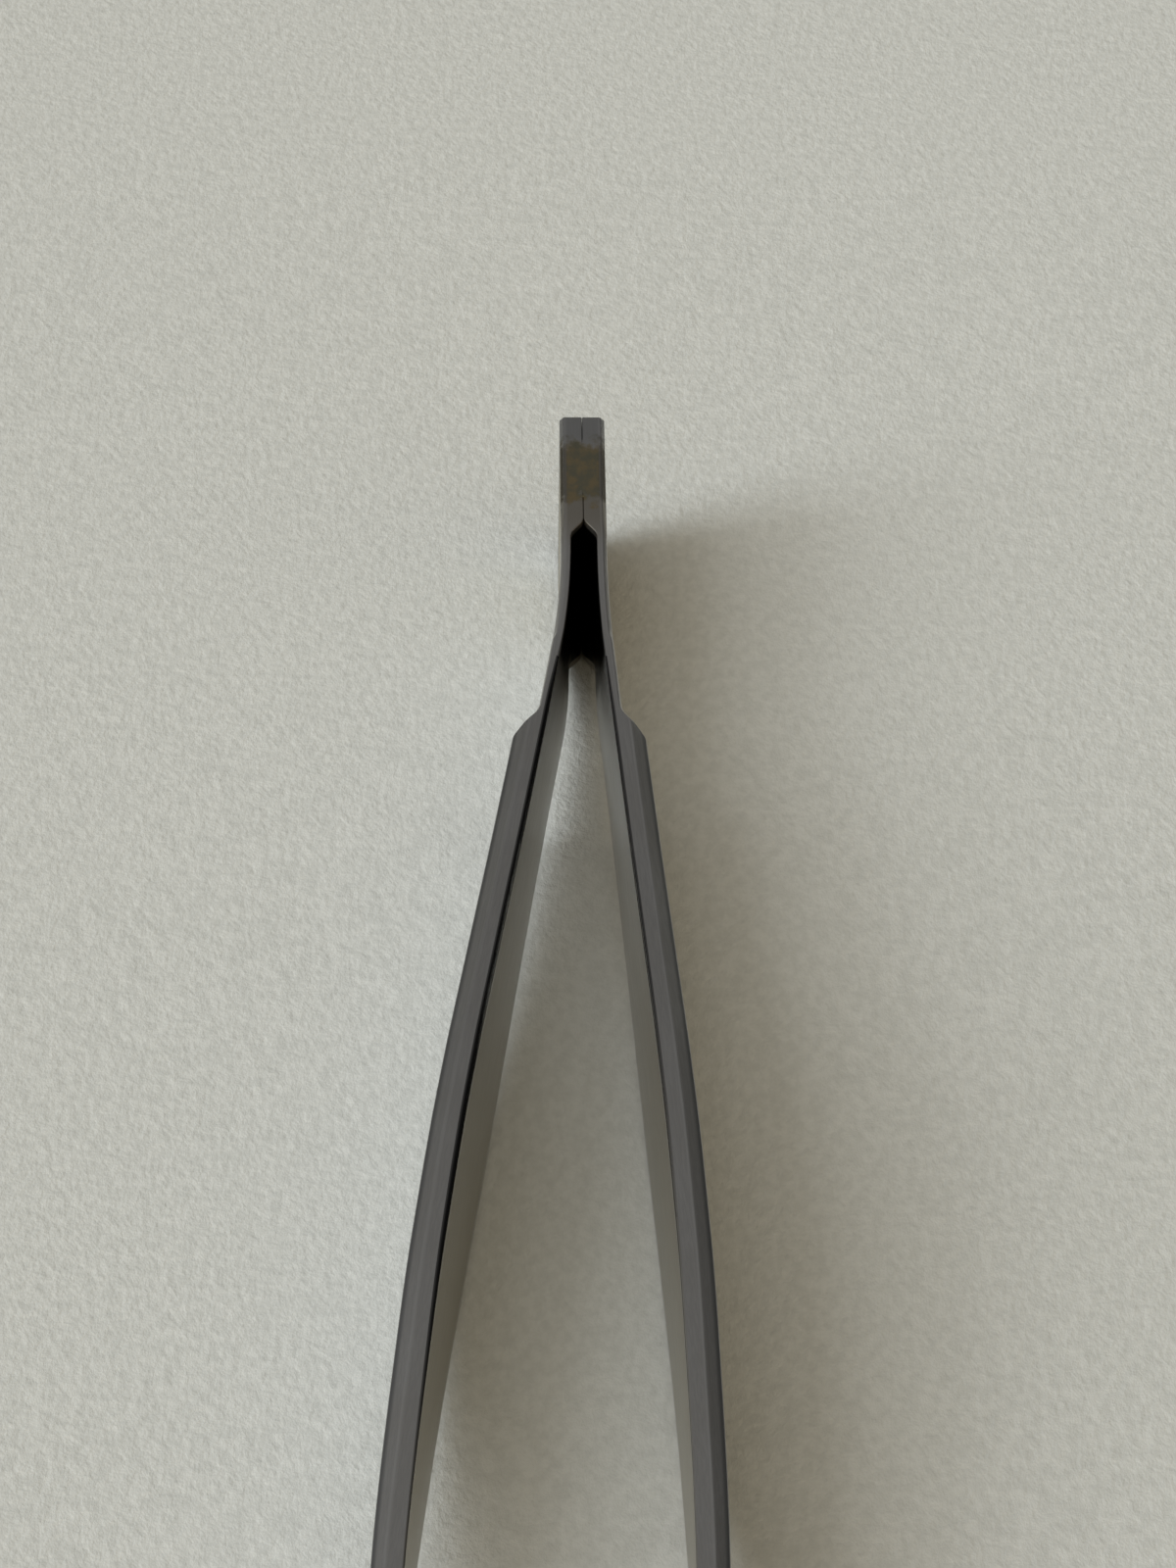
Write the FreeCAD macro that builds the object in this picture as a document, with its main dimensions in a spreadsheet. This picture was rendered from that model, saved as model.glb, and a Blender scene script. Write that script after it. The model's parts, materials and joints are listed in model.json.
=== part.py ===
"""Tissue forceps with one tooth against two, lying on the edges of their two leaves.

The frame is in millimetres: +Y runs from the toothed tips to the welded heel, X runs across
the opening and +Z is up. Y is centred on the length, and Z is 0 under the widest place of the
grips. Each leaf is drawn in two frames of its own. In the heel frame the seam is the Y axis and
the butt end is at y = 0. In the arm frame the bending axis of the spring is the origin, and the
arm runs from there along -Y. The factor called side is 1 on the right leaf and -1 on the left.
"""
import FreeCAD, Part
import os
import re
import sys
from math import cos, radians

import Sketcher
from FreeCAD import Vector

# Driving dimensions, in millimetres and degrees
SIZES = {
    # Welded heel
    "heel_width": 10.5,
    "heel_leaf_thickness": 1.46,
    "butt_corner_radius": 0.3,
    "heel_edge_radius": 0.25,
    "cusp_from_butt": 12.4,
    "cusp_slope": 40.0,
    "cusp_round": 1.5,
    # Weld beads, flush in grooves along the seam
    "weld_from_butt": 3.1,
    "weld_length": 7.1,
    "weld_half_width": 0.35,
    "weld_depth": 0.5,
    # Thin spring, bent outwards by its splay
    "spring_thickness": 0.62,
    "spring_width": 8.6,
    "bend_from_butt": 15.5,
    "bend_length": 9.5,
    "left_splay_angle": 6.35,
    "right_splay_angle": 3.15,
    "taper_from_butt": 13.5,
    # Seat round the bending axis, where the leaf flexes
    "seat_radius": 0.6,
    "seat_clearance": 0.03,
    # Shoulder and grip, measured from the bending axis
    "shoulder_from_axis": 8.4,
    "shoulder_angle": 26.0,
    "shoulder_fillet": 3.0,
    "shoulder_crest_radius": 1.2,
    "grip_thickness": 1.88,
    "grip_width": 11.9,
    "grip_crown": 0.12,
    "bevel_width": 0.85,
    "bevel_depth": 0.5,
    "inner_bevel": 0.2,
    # Arm forward of the shoulder: widths over the edges, thicknesses, and how far the inner
    # face is set in from the straight line of the spring
    "arm_length": 125.0,
    "shoulder_width": 8.85,
    "rear_width": 9.45,
    "middle_width": 10.8,
    "front_width": 11.0,
    "front_inset": 0.12,
    "neck_width": 9.0,
    "neck_inset": 0.43,
    "neck_thickness": 1.84,
    "shank_width": 6.7,
    "shank_inset": 0.93,
    "shank_thickness": 1.76,
    "slim_width": 4.4,
    "slim_inset": 2.25,
    "slim_thickness": 1.55,
    "jaw_width": 3.2,
    "jaw_inset": 5.25,
    "jaw_thickness": 1.35,
    "mid_jaw_width": 2.9,
    "mid_jaw_thickness": 1.2,
    "tip_width": 2.6,
    "tip_thickness": 1.15,
    # Jaws and teeth
    "closing_angle": 2.6,
    "jaw_clearance": 0.03,
    "jaw_stock": 0.15,
    "tooth_height": 0.6,
    "tooth_base": 1.4,
    "tooth_width": 0.7,
    "tooth_clearance": 0.08,
}

SIDES = {"left": -1, "right": 1}
# How far, in degrees, a face may lean and still count as a top edge or as an outer wall
TOP_LEAN_ANGLE = 25.0
WALL_LEAN_ANGLE = 53.0
# Room by which a cutting outline stands clear of the metal
CLEAR = 2.0

# Shared lengths and angles, written in the sheet's names
HALF_SPRING = "spring_thickness / 2"
MEAN_SPLAY = "((left_splay_angle + right_splay_angle) / 2)"
HEEL_TURN = "((left_splay_angle - right_splay_angle) / 2)"
GRIP_OUTER = "(grip_thickness - spring_thickness / 2)"
ROOT_STATION = "(0.048 * arm_length)"
JAW_STATION = "(0.888 * arm_length)"
MID_JAW_STATION = "(0.944 * arm_length)"
CUSP_RAMP_START = "(cusp_from_butt + cusp_round * tan(cusp_slope / 2))"
SLOT_STEP = "(heel_leaf_thickness - spring_thickness)"
CUSP_RAMP_END = f"({CUSP_RAMP_START} + {SLOT_STEP} / tan(cusp_slope))"


def bend_radius(name):
    """Radius of the middle of the bent spring."""
    return f"(bend_length / ({name}_splay_angle * pi / 180))"


def axis_x(name):
    """Distance of a bending axis from the seam, in the heel frame."""
    return f"(heel_leaf_thickness - {HALF_SPRING} + {bend_radius(name)} * (1 - cos({name}_splay_angle)))"


def axis_y(name):
    """Distance of a bending axis from the butt end, in the heel frame."""
    return f"(bend_from_butt + {bend_radius(name)} * sin({name}_splay_angle))"


# The heel turns about its butt end until the arms open evenly about the plane x = 0
HEEL_X = (
    f"(-(({axis_x('right')} - {axis_x('left')}) * cos({HEEL_TURN})"
    f" + ({axis_y('right')} + {axis_y('left')}) * sin({HEEL_TURN})) / 2)"
)
HALF_AXIS_SPAN = (
    f"((({axis_x('right')} + {axis_x('left')}) * cos({HEEL_TURN})"
    f" + ({axis_y('right')} - {axis_y('left')}) * sin({HEEL_TURN})) / 2)"
)
BUTT_TO_TIPS = (
    f"(({axis_y('left')} + {axis_y('right')}) / 2 * cos({HEEL_TURN})"
    f" + arm_length * cos({MEAN_SPLAY}))"
)
HEEL_Y = f"({BUTT_TO_TIPS} / 2)"
MID_HEIGHT = "(grip_width / 2)"

doc = FreeCAD.newDocument("TissueForceps")
sheet = doc.addObject("Spreadsheet::Sheet", "Sizes")
for row, (alias, value) in enumerate(SIZES.items(), start=1):
    sheet.set(f"A{row}", alias)
    sheet.set(f"B{row}", str(value))
    sheet.setAlias(f"B{row}", alias)
doc.recompute()


def terms(text):
    """An expression on the sheet, from a text that uses the plain names of the sizes."""
    return re.sub(r"[a-z_]+", lambda word: f"Sizes.{word[0]}" if word[0] in SIZES else word[0], text)


def measure(text):
    """The present value of an expression on the sizes."""
    return float(sheet.evalExpression(terms(text)))


def bind(obj, path, text):
    obj.setExpression(path, terms(text))


def draw_outline(sketch, corners):
    """Close straight lines through the corners, each held by two bound distances."""
    first = sketch.GeometryCount
    places = [Vector(measure(x), measure(y), 0) for x, y in corners]
    count = len(corners)
    for index, place in enumerate(places):
        sketch.addGeometry(Part.LineSegment(place, places[(index + 1) % count]), False)
    for index, (x, y) in enumerate(corners):
        line = first + index
        after = first + (index + 1) % count
        sketch.addConstraint(Sketcher.Constraint("Coincident", line, 2, after, 1))
        for kind, text, value in (("DistanceX", x, places[index].x), ("DistanceY", y, places[index].y)):
            number = sketch.addConstraint(Sketcher.Constraint(kind, line, 1, value))
            bind(sketch, f"Constraints[{number}]", text)


def draw_circle(sketch, x, y, radius):
    place = Vector(measure(x), measure(y), 0)
    circle = sketch.addGeometry(Part.Circle(place, Vector(0, 0, 1), measure(radius)), False)
    rules = (("DistanceX", (circle, 3, place.x), x), ("DistanceY", (circle, 3, place.y), y),
             ("Radius", (circle, measure(radius)), radius))
    for kind, arguments, text in rules:
        number = sketch.addConstraint(Sketcher.Constraint(kind, *arguments))
        bind(sketch, f"Constraints[{number}]", text)


def draw_axis(sketch, x):
    """A construction line along the sketch's upright direction."""
    foot, head = Vector(measure(x), 0, 0), Vector(measure(x), 1, 0)
    line = sketch.addGeometry(Part.LineSegment(foot, head), True)
    sketch.addConstraint(Sketcher.Constraint("Vertical", line))
    sketch.addConstraint(Sketcher.Constraint("DistanceY", line, 1, 0.0))
    sketch.addConstraint(Sketcher.Constraint("DistanceY", line, 2, 1.0))
    number = sketch.addConstraint(Sketcher.Constraint("DistanceX", line, 1, foot.x))
    bind(sketch, f"Constraints[{number}]", x)


def draw_nose(sketch, half_width, radius, length):
    """A straight strip from the origin down to a length, with a round nose about the origin."""
    half, round_, far = measure(half_width), measure(radius), measure(length)
    height = (round_ ** 2 - half ** 2) ** 0.5
    right_top, left_top = Vector(half, height, 0), Vector(-half, height, 0)
    right_foot, left_foot = Vector(half, -far, 0), Vector(-half, -far, 0)
    for start, end in ((right_foot, right_top), (left_top, left_foot), (left_foot, right_foot)):
        sketch.addGeometry(Part.LineSegment(start, end), False)
    right, left, foot = 0, 1, 2
    nose = sketch.addGeometry(Part.Arc(right_top, Vector(0, round_, 0), left_top), False)
    for ends in ((right, 2, nose, 1), (nose, 2, left, 1), (left, 2, foot, 1), (foot, 2, right, 1),
                 (nose, 3, -1, 1)):
        sketch.addConstraint(Sketcher.Constraint("Coincident", *ends))
    sketch.addConstraint(Sketcher.Constraint("Vertical", right))
    sketch.addConstraint(Sketcher.Constraint("Vertical", left))
    sketch.addConstraint(Sketcher.Constraint("Horizontal", foot))
    rules = (("DistanceX", (right, 1, half), half_width), ("DistanceX", (left, 1, -half), f"-{half_width}"),
             ("DistanceY", (right, 1, -far), f"-{length}"), ("Radius", (nose, round_), radius))
    for kind, arguments, text in rules:
        number = sketch.addConstraint(Sketcher.Constraint(kind, *arguments))
        bind(sketch, f"Constraints[{number}]", text)


def add_sketch(body, name, role, offset=None):
    """An empty sketch on one of the body's own planes, moved along its normal by the offset."""
    sketch = body.newObject("Sketcher::SketchObject", name)
    plane = next(item for item in body.Origin.OriginFeatures if item.Role == role)
    sketch.AttachmentSupport = [(plane, "")]
    sketch.MapMode = "FlatFace"
    if offset is not None:
        bind(sketch, "AttachmentOffset.Base.z", offset)
    return sketch


def add_feature(body, kind, name, sketch, length=None, side_type="Symmetric", reverse=False):
    """A pad or pocket of a sketch; with no length it cuts through everything."""
    feature = body.newObject(f"PartDesign::{kind}", name)
    feature.Profile = sketch
    feature.SideType = side_type
    feature.Reversed = reverse
    if length is None:
        feature.Type = "ThroughAll"
    else:
        bind(feature, "Length", length)
    sketch.Visibility = False
    doc.recompute()
    return feature


def upright_edges(feature, x_text, y_text, reach=0.05):
    """Names of the edges that stand along Z at one place of the plan."""
    x, y = measure(x_text), measure(y_text)
    names = []
    for number, edge in enumerate(feature.Shape.Edges, start=1):
        box = edge.BoundBox
        flat = max(box.XLength, box.YLength) < reach
        if flat and abs(box.Center.x - x) < reach and abs(box.Center.y - y) < reach:
            names.append(f"Edge{number}")
    return names


def rim_edges(feature, side):
    """Names of the edges where the outside or the butt end meets the top or the bottom edge."""
    names = []
    for number, edge in enumerate(feature.Shape.Edges, start=1):
        faces = feature.Shape.ancestorsOfType(edge, Part.Face)
        spots = [face.Surface.parameter(face.CenterOfMass) for face in faces]
        normals = [face.normalAt(*spot) for face, spot in zip(faces, spots)]
        wall, top = sorted(normals, key=lambda normal: abs(normal.z))
        faces_up = abs(top.z) > cos(radians(TOP_LEAN_ANGLE))
        faces_out = max(side * wall.x, wall.y) > cos(radians(WALL_LEAN_ANGLE))
        if faces_up and faces_out:
            names.append(f"Edge{number}")
    return names


def round_edges(body, name, feature, edges, radius):
    if not edges:
        raise RuntimeError(f"{name}: no edge to round")
    fillet = body.newObject("PartDesign::Fillet", name)
    fillet.Base = (feature, edges)
    bind(fillet, "Radius", radius)
    doc.recompute()
    return fillet


def bind_heel_placement(obj):
    bind(obj, "Placement.Base.x", HEEL_X)
    bind(obj, "Placement.Base.y", HEEL_Y)
    bind(obj, "Placement.Base.z", MID_HEIGHT)
    bind(obj, "Placement.Rotation.Angle", HEEL_TURN)


def weld_triangle(side, edge):
    """Cross-section of one half of a weld groove, at the top edge (1) or the bottom edge (-1)."""
    return (
        ("0", f"{edge} * heel_width / 2"),
        (f"{side} * weld_half_width", f"{edge} * heel_width / 2"),
        ("0", f"{edge} * (heel_width / 2 - weld_depth)"),
    )


def make_heel(name, side):
    """Half of the heel: the thick end, the slot's cusp and the bent root of the spring."""
    body = doc.addObject("PartDesign::Body", f"{name}_heel")

    block_plan = add_sketch(body, f"{name}_block_plan", "XY_Plane")
    draw_outline(block_plan, (
        ("0", "0"),
        (f"{side} * heel_leaf_thickness", "0"),
        (f"{side} * heel_leaf_thickness", "-bend_from_butt"),
        (f"{side} * {SLOT_STEP}", "-bend_from_butt"),
        (f"{side} * {SLOT_STEP}", f"-{CUSP_RAMP_END}"),
        ("0", f"-{CUSP_RAMP_START}"),
    ))
    block = add_feature(body, "Pad", f"{name}_block", block_plan, "heel_width")

    root_section = add_sketch(body, f"{name}_root_section", "XZ_Plane", "bend_from_butt")
    inner, outer = f"{side} * {SLOT_STEP}", f"{side} * heel_leaf_thickness"
    draw_outline(root_section, (
        (inner, "-heel_width / 2"), (outer, "-heel_width / 2"),
        (outer, "heel_width / 2"), (inner, "heel_width / 2"),
    ))
    draw_axis(root_section, f"{side} * (heel_leaf_thickness - {HALF_SPRING} + {bend_radius(name)})")
    root = body.newObject("PartDesign::Revolution", f"{name}_root")
    root.Profile = root_section
    root.ReferenceAxis = (root_section, ["Axis0"])
    root.Reversed = side < 0
    bind(root, "Angle", f"{name}_splay_angle")
    doc.recompute()

    seat_plan = add_sketch(body, f"{name}_seat_plan", "XY_Plane")
    draw_circle(seat_plan, f"{side} * {axis_x(name)}", f"-{axis_y(name)}", "seat_radius + seat_clearance")
    seat = add_feature(body, "Pocket", f"{name}_seat", seat_plan)

    taper_side = add_sketch(body, f"{name}_taper_side", "YZ_Plane")
    for edge in (1, -1):
        draw_outline(taper_side, (
            ("-taper_from_butt", f"{edge} * heel_width / 2"),
            (f"-{axis_y(name)}", f"{edge} * spring_width / 2"),
            (f"-{axis_y(name)} - {CLEAR}", f"{edge} * spring_width / 2"),
            (f"-{axis_y(name)} - {CLEAR}", f"{edge} * (heel_width / 2 + {CLEAR})"),
            ("-taper_from_butt", f"{edge} * (heel_width / 2 + {CLEAR})"),
        ))
    taper = add_feature(body, "Pocket", f"{name}_taper", taper_side)

    groove_section = add_sketch(body, f"{name}_groove_section", "XZ_Plane", "weld_from_butt")
    for edge in (1, -1):
        draw_outline(groove_section, weld_triangle(side, edge))
    groove = add_feature(body, "Pocket", f"{name}_groove", groove_section, "weld_length", "One side", True)

    corner = upright_edges(groove, f"{side} * heel_leaf_thickness", "0")
    butt_corner = round_edges(body, f"{name}_butt_corner", groove, corner, "butt_corner_radius")
    ramp = upright_edges(butt_corner, "0", f"-{CUSP_RAMP_START}")
    ramp += upright_edges(butt_corner, f"{side} * {SLOT_STEP}", f"-{CUSP_RAMP_END}")
    cusp = round_edges(body, f"{name}_cusp", butt_corner, ramp, "cusp_round")
    round_edges(body, f"{name}_rim", cusp, rim_edges(cusp, side), "heel_edge_radius")
    bind_heel_placement(body)
    return body


def make_weld():
    """Two flush beads that fill the grooves along the seam, on the top and the bottom edge."""
    section = doc.addObject("Sketcher::SketchObject", "weld_section")
    for edge in (1, -1):
        draw_outline(section, (
            weld_triangle(-1, edge)[1],
            weld_triangle(1, edge)[1],
            weld_triangle(1, edge)[2],
        ))
    section.Placement.Rotation = FreeCAD.Rotation(Vector(1, 0, 0), 90)
    bind(section, "Placement.Base.y", "-weld_from_butt")
    section.Visibility = False
    beads = doc.addObject("Part::Extrusion", "heel_weld")
    beads.Base = section
    beads.DirMode = "Custom"
    beads.Dir = Vector(0, -1, 0)
    beads.Solid = True
    bind(beads, "LengthFwd", "weld_length")
    bind_heel_placement(beads)
    return beads


def arm_section_corners(side, width, thickness, inset, bevel_share):
    """Flat inner face with small bevels, and an outer face between two wide ones."""
    inner = f"(-{HALF_SPRING} - ({inset}))"
    outer = f"({inner} + {thickness})"
    ridge = f"({outer} - {bevel_share} * bevel_width)"
    top = f"(({width}) / 2)"
    shoulder = f"({top} - {bevel_share} * bevel_depth)"
    inner_ridge = f"({inner} + {bevel_share} * inner_bevel)"
    inner_shoulder = f"({top} - {bevel_share} * inner_bevel)"
    return (
        (f"{side} * {inner}", f"-{inner_shoulder}"),
        (f"{side} * {inner_ridge}", f"-{top}"),
        (f"{side} * {ridge}", f"-{top}"),
        (f"{side} * {outer}", f"-{shoulder}"),
        (f"{side} * {outer}", shoulder),
        (f"{side} * {ridge}", top),
        (f"{side} * {inner_ridge}", top),
        (f"{side} * {inner}", inner_shoulder),
    )


# Direction of the jaw faces in the arm frame: square to each other once the arms are closed
CLOSED_SPLAY = f"({MEAN_SPLAY} - closing_angle)"


def jaw_face(station, proud="0"):
    """Distance of the jaw face from the arm's axis at a station; proud reaches to the other jaw."""
    return (
        f"((jaw_clearance / 2 - ({proud}) - {HALF_AXIS_SPAN} - ({station}) * sin({CLOSED_SPLAY}))"
        f" / cos({CLOSED_SPLAY}))"
    )


def jaw_inset(station):
    """Inset of a section that has a little stock in front of the jaw face, to be ground off."""
    return f"(-{jaw_face(station)} - {HALF_SPRING} + jaw_stock)"


# Sections of the arm: station, width over the edges, thickness, inset of the inner face and
# share of the full bevels
ARM_SECTIONS = (
    (ROOT_STATION, "spring_width", "grip_thickness", "0", 1.0),
    ("0.104 * arm_length", "shoulder_width", "grip_thickness", "0", 1.0),
    ("0.176 * arm_length", "rear_width", "grip_thickness", "0", 1.0),
    ("0.272 * arm_length", "middle_width", "grip_thickness", "0", 1.0),
    ("0.376 * arm_length", "grip_width + grip_crown", "grip_thickness", "0", 1.0),
    ("0.480 * arm_length", "front_width", "grip_thickness", "front_inset", 1.0),
    ("0.576 * arm_length", "neck_width", "neck_thickness", "neck_inset", 1.0),
    ("0.672 * arm_length", "shank_width", "shank_thickness", "shank_inset", 0.9),
    ("0.776 * arm_length", "slim_width", "slim_thickness", "slim_inset", 0.65),
    (JAW_STATION, "jaw_width", "jaw_thickness", "jaw_inset", 0.45),
    (MID_JAW_STATION, "mid_jaw_width", "mid_jaw_thickness + jaw_stock", jaw_inset(MID_JAW_STATION), 0.4),
    ("arm_length", "tip_width", "tip_thickness + jaw_stock", jaw_inset("arm_length"), 0.35),
)

TOOTH_START = "(arm_length - tooth_base)"
TOOTH_MIDDLE = "(arm_length - tooth_base / 2)"
TOOTH_PEAK = "(arm_length - tooth_base / 4)"
NOTCH_START = "(arm_length - tooth_base - tooth_clearance)"
NOTCH_DEPTH = "(-tooth_height - tooth_clearance)"
NOTCH_WIDTH = "(tooth_width + 2 * tooth_clearance)"
TOOTH = ((TOOTH_START, "0"), (TOOTH_PEAK, "tooth_height"), ("arm_length", "0"))
TOOTH_ROOT = (("arm_length", NOTCH_DEPTH), (TOOTH_MIDDLE, NOTCH_DEPTH), (NOTCH_START, "0"))
PAST_TIP = f"(arm_length + {CLEAR})"
NOTCH = (
    (NOTCH_START, "0"), (TOOTH_MIDDLE, NOTCH_DEPTH), (PAST_TIP, NOTCH_DEPTH),
    (PAST_TIP, CLEAR), (NOTCH_START, CLEAR),
)


def add_jaw_feature(body, kind, name, side, profile, width=None):
    """A pad or pocket of an outline whose corners are stations on the jaw face and heights above it."""
    plan = add_sketch(body, f"{name}_plan", "XY_Plane")
    draw_outline(plan, tuple((f"{side} * {jaw_face(at, proud)}", f"-{at}") for at, proud in profile))
    return add_feature(body, kind, name, plan, width)


def make_single_tooth(body, name, side):
    """One tooth in the middle, with the metal on both sides of it cut back."""
    add_jaw_feature(body, "Pocket", f"{name}_notches", side, NOTCH)
    add_jaw_feature(body, "Pad", f"{name}_tooth", side, TOOTH + TOOTH_ROOT, "tooth_width")


def make_double_teeth(body, name, side):
    """Two teeth with a notch between them, which takes the other jaw's tooth."""
    add_jaw_feature(body, "Pad", f"{name}_teeth", side, TOOTH, f"2 * tooth_width + {NOTCH_WIDTH}")
    add_jaw_feature(body, "Pocket", f"{name}_notch", side, NOTCH, NOTCH_WIDTH)


def make_arm(name, side):
    """Flexing half of a leaf: spring, shoulder, bevelled grip, slim shank and toothed jaw."""
    body = doc.addObject("PartDesign::Body", f"{name}_arm")

    sections = []
    for number, (station, width, thickness, inset, bevel_share) in enumerate(ARM_SECTIONS, start=1):
        section = add_sketch(body, f"{name}_section_{number}", "XZ_Plane", station)
        draw_outline(section, arm_section_corners(side, width, thickness, inset, bevel_share))
        section.Visibility = False
        sections.append(section)
    doc.recompute()
    bar = body.newObject("PartDesign::AdditiveLoft", f"{name}_bar")
    bar.Profile = sections[0]
    bar.Sections = sections[1:]
    doc.recompute()

    # Outside of the spring is ground away up to the shoulder's ramp
    ramp_foot = "shoulder_from_axis"
    ramp_rise = f"({GRIP_OUTER} - {HALF_SPRING} + {CLEAR})"
    relief_plan = add_sketch(body, f"{name}_relief_plan", "XY_Plane")
    draw_outline(relief_plan, (
        (f"{side} * {HALF_SPRING}", f"{CLEAR} - {ROOT_STATION}"),
        (f"{side} * {HALF_SPRING}", f"-{ramp_foot}"),
        (f"{side} * ({HALF_SPRING} + {ramp_rise})", f"-{ramp_foot} - {ramp_rise} / tan(shoulder_angle)"),
        (f"{side} * ({HALF_SPRING} + {ramp_rise})", f"{CLEAR} - {ROOT_STATION}"),
    ))
    relief = add_feature(body, "Pocket", f"{name}_relief", relief_plan)
    foot = upright_edges(relief, f"{side} * {HALF_SPRING}", f"-{ramp_foot}")
    shoulder = round_edges(body, f"{name}_shoulder", relief, foot, "shoulder_fillet")
    crest_station = f"({ramp_foot} + (grip_thickness - spring_thickness) / tan(shoulder_angle))"
    crest = upright_edges(shoulder, f"{side} * {GRIP_OUTER}", f"-{crest_station}")
    round_edges(body, f"{name}_crest", shoulder, crest, "shoulder_crest_radius")

    # The spring starts in a round nose that fits the seat of the heel
    spring_plan = add_sketch(body, f"{name}_spring_plan", "XY_Plane")
    draw_nose(spring_plan, HALF_SPRING, "seat_radius", ROOT_STATION)
    add_feature(body, "Pad", f"{name}_spring", spring_plan, "spring_width")

    # Edges of the widest stretch are ground flat, so that the arm can lie on them
    flat_side = add_sketch(body, f"{name}_flat_side", "YZ_Plane")
    for edge in (1, -1):
        draw_outline(flat_side, (
            ("0", f"{edge} * grip_width / 2"),
            ("-arm_length", f"{edge} * grip_width / 2"),
            ("-arm_length", f"{edge} * (grip_width / 2 + {CLEAR})"),
            ("0", f"{edge} * (grip_width / 2 + {CLEAR})"),
        ))
    add_feature(body, "Pocket", f"{name}_flats", flat_side)

    # Jaw face, flat against the other one when the arms close
    face = ((JAW_STATION, "0"), (PAST_TIP, "0"), (PAST_TIP, CLEAR), (JAW_STATION, CLEAR))
    add_jaw_feature(body, "Pocket", f"{name}_jaw", side, face)
    add_teeth = make_single_tooth if side > 0 else make_double_teeth
    add_teeth(body, name, side)

    bind(body, "Placement.Base.x", f"{side} * {HALF_AXIS_SPAN}")
    bind(body, "Placement.Base.y", (
        f"{HEEL_Y} + {side} * {axis_x(name)} * sin({HEEL_TURN}) - {axis_y(name)} * cos({HEEL_TURN})"
    ))
    bind(body, "Placement.Base.z", MID_HEIGHT)
    bind(body, "Placement.Rotation.Angle", f"{side} * {MEAN_SPLAY}")
    return body


def check(parts):
    """Stop if any object failed, or if a sub-part's shape is empty or broken."""
    doc.recompute()
    failed = [item.Name for item in doc.Objects if {"Invalid", "Error"} & set(item.State)]
    broken = [part.Label for part in parts if part.Shape.isNull() or not part.Shape.isValid()]
    if failed or broken:
        sys.exit(f"failed objects: {failed}; broken shapes: {broken}")


parts = [make_heel(name, side) for name, side in SIDES.items()]
parts.append(make_weld())
parts += [make_arm(name, side) for name, side in SIDES.items()]
check(parts)

os.makedirs("parts", exist_ok=True)
for part in parts:
    part.Shape.exportStep(f"parts/{part.Label}.step")
    box = part.Shape.BoundBox
    print(f"{part.Label}: {part.Shape.Volume:.2f} mm3, X {box.XMin:.2f} to {box.XMax:.2f}, "
          f"Y {box.YMin:.2f} to {box.YMax:.2f}, Z {box.ZMin:.2f} to {box.ZMax:.2f}")
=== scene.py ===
"""Looks of a pair of tissue forceps, lying on the edges of its two leaves on pale paper.

Blender works in metres, and +Y runs from the toothed tips to the welded heel. The sizes of a leaf
are in millimetres: its station runs from the butt end along the leaf, and a section is drawn in
offsets from the middle of the spring, outwards, and in heights from the middle of the width.
"""

import json
import math
from bisect import bisect_right

import bmesh
import bpy
from mathutils import Matrix, Vector


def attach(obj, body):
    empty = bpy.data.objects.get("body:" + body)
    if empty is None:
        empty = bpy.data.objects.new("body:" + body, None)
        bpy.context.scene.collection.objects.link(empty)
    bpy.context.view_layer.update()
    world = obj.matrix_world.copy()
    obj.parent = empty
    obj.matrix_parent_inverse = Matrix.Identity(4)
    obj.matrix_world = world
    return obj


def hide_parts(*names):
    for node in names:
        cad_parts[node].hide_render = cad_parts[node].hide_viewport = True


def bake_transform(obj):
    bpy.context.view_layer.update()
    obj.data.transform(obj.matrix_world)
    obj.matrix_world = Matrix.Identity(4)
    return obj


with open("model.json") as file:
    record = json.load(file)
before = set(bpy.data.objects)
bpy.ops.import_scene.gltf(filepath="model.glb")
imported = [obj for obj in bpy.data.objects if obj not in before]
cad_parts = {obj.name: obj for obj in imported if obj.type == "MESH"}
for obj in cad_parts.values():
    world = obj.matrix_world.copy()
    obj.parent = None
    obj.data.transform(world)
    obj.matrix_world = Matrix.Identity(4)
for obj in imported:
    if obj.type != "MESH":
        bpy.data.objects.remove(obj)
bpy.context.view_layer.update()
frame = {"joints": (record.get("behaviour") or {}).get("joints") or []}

MM = 0.001

# Heel and spring of a leaf
HEEL_WIDTH = 10.5
HEEL_THICKNESS = 1.46
HEEL_EDGE = 0.26
SPRING_EDGE = 0.156
BUTT_ROUND_OUTSIDE = 0.35
BUTT_ROUND_EDGES = 0.55
SEAM_GAP = 0.012
CUSP_FROM_BUTT = 12.7
CUSP_SLOPE = math.radians(31)
CUSP_ROUND = 1.5
SPRING_THICKNESS = 0.62
SPRING_WIDTH = 8.6
BEND_FROM_BUTT = 15.5
BEND_LENGTH = 9.5
TAPER_FROM_BUTT = 13.5
TAPER_BLEND = 22.0
BLEND_REACH = 7.0
SPLAY = {"left": math.radians(6.35), "right": math.radians(3.15)}

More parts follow.
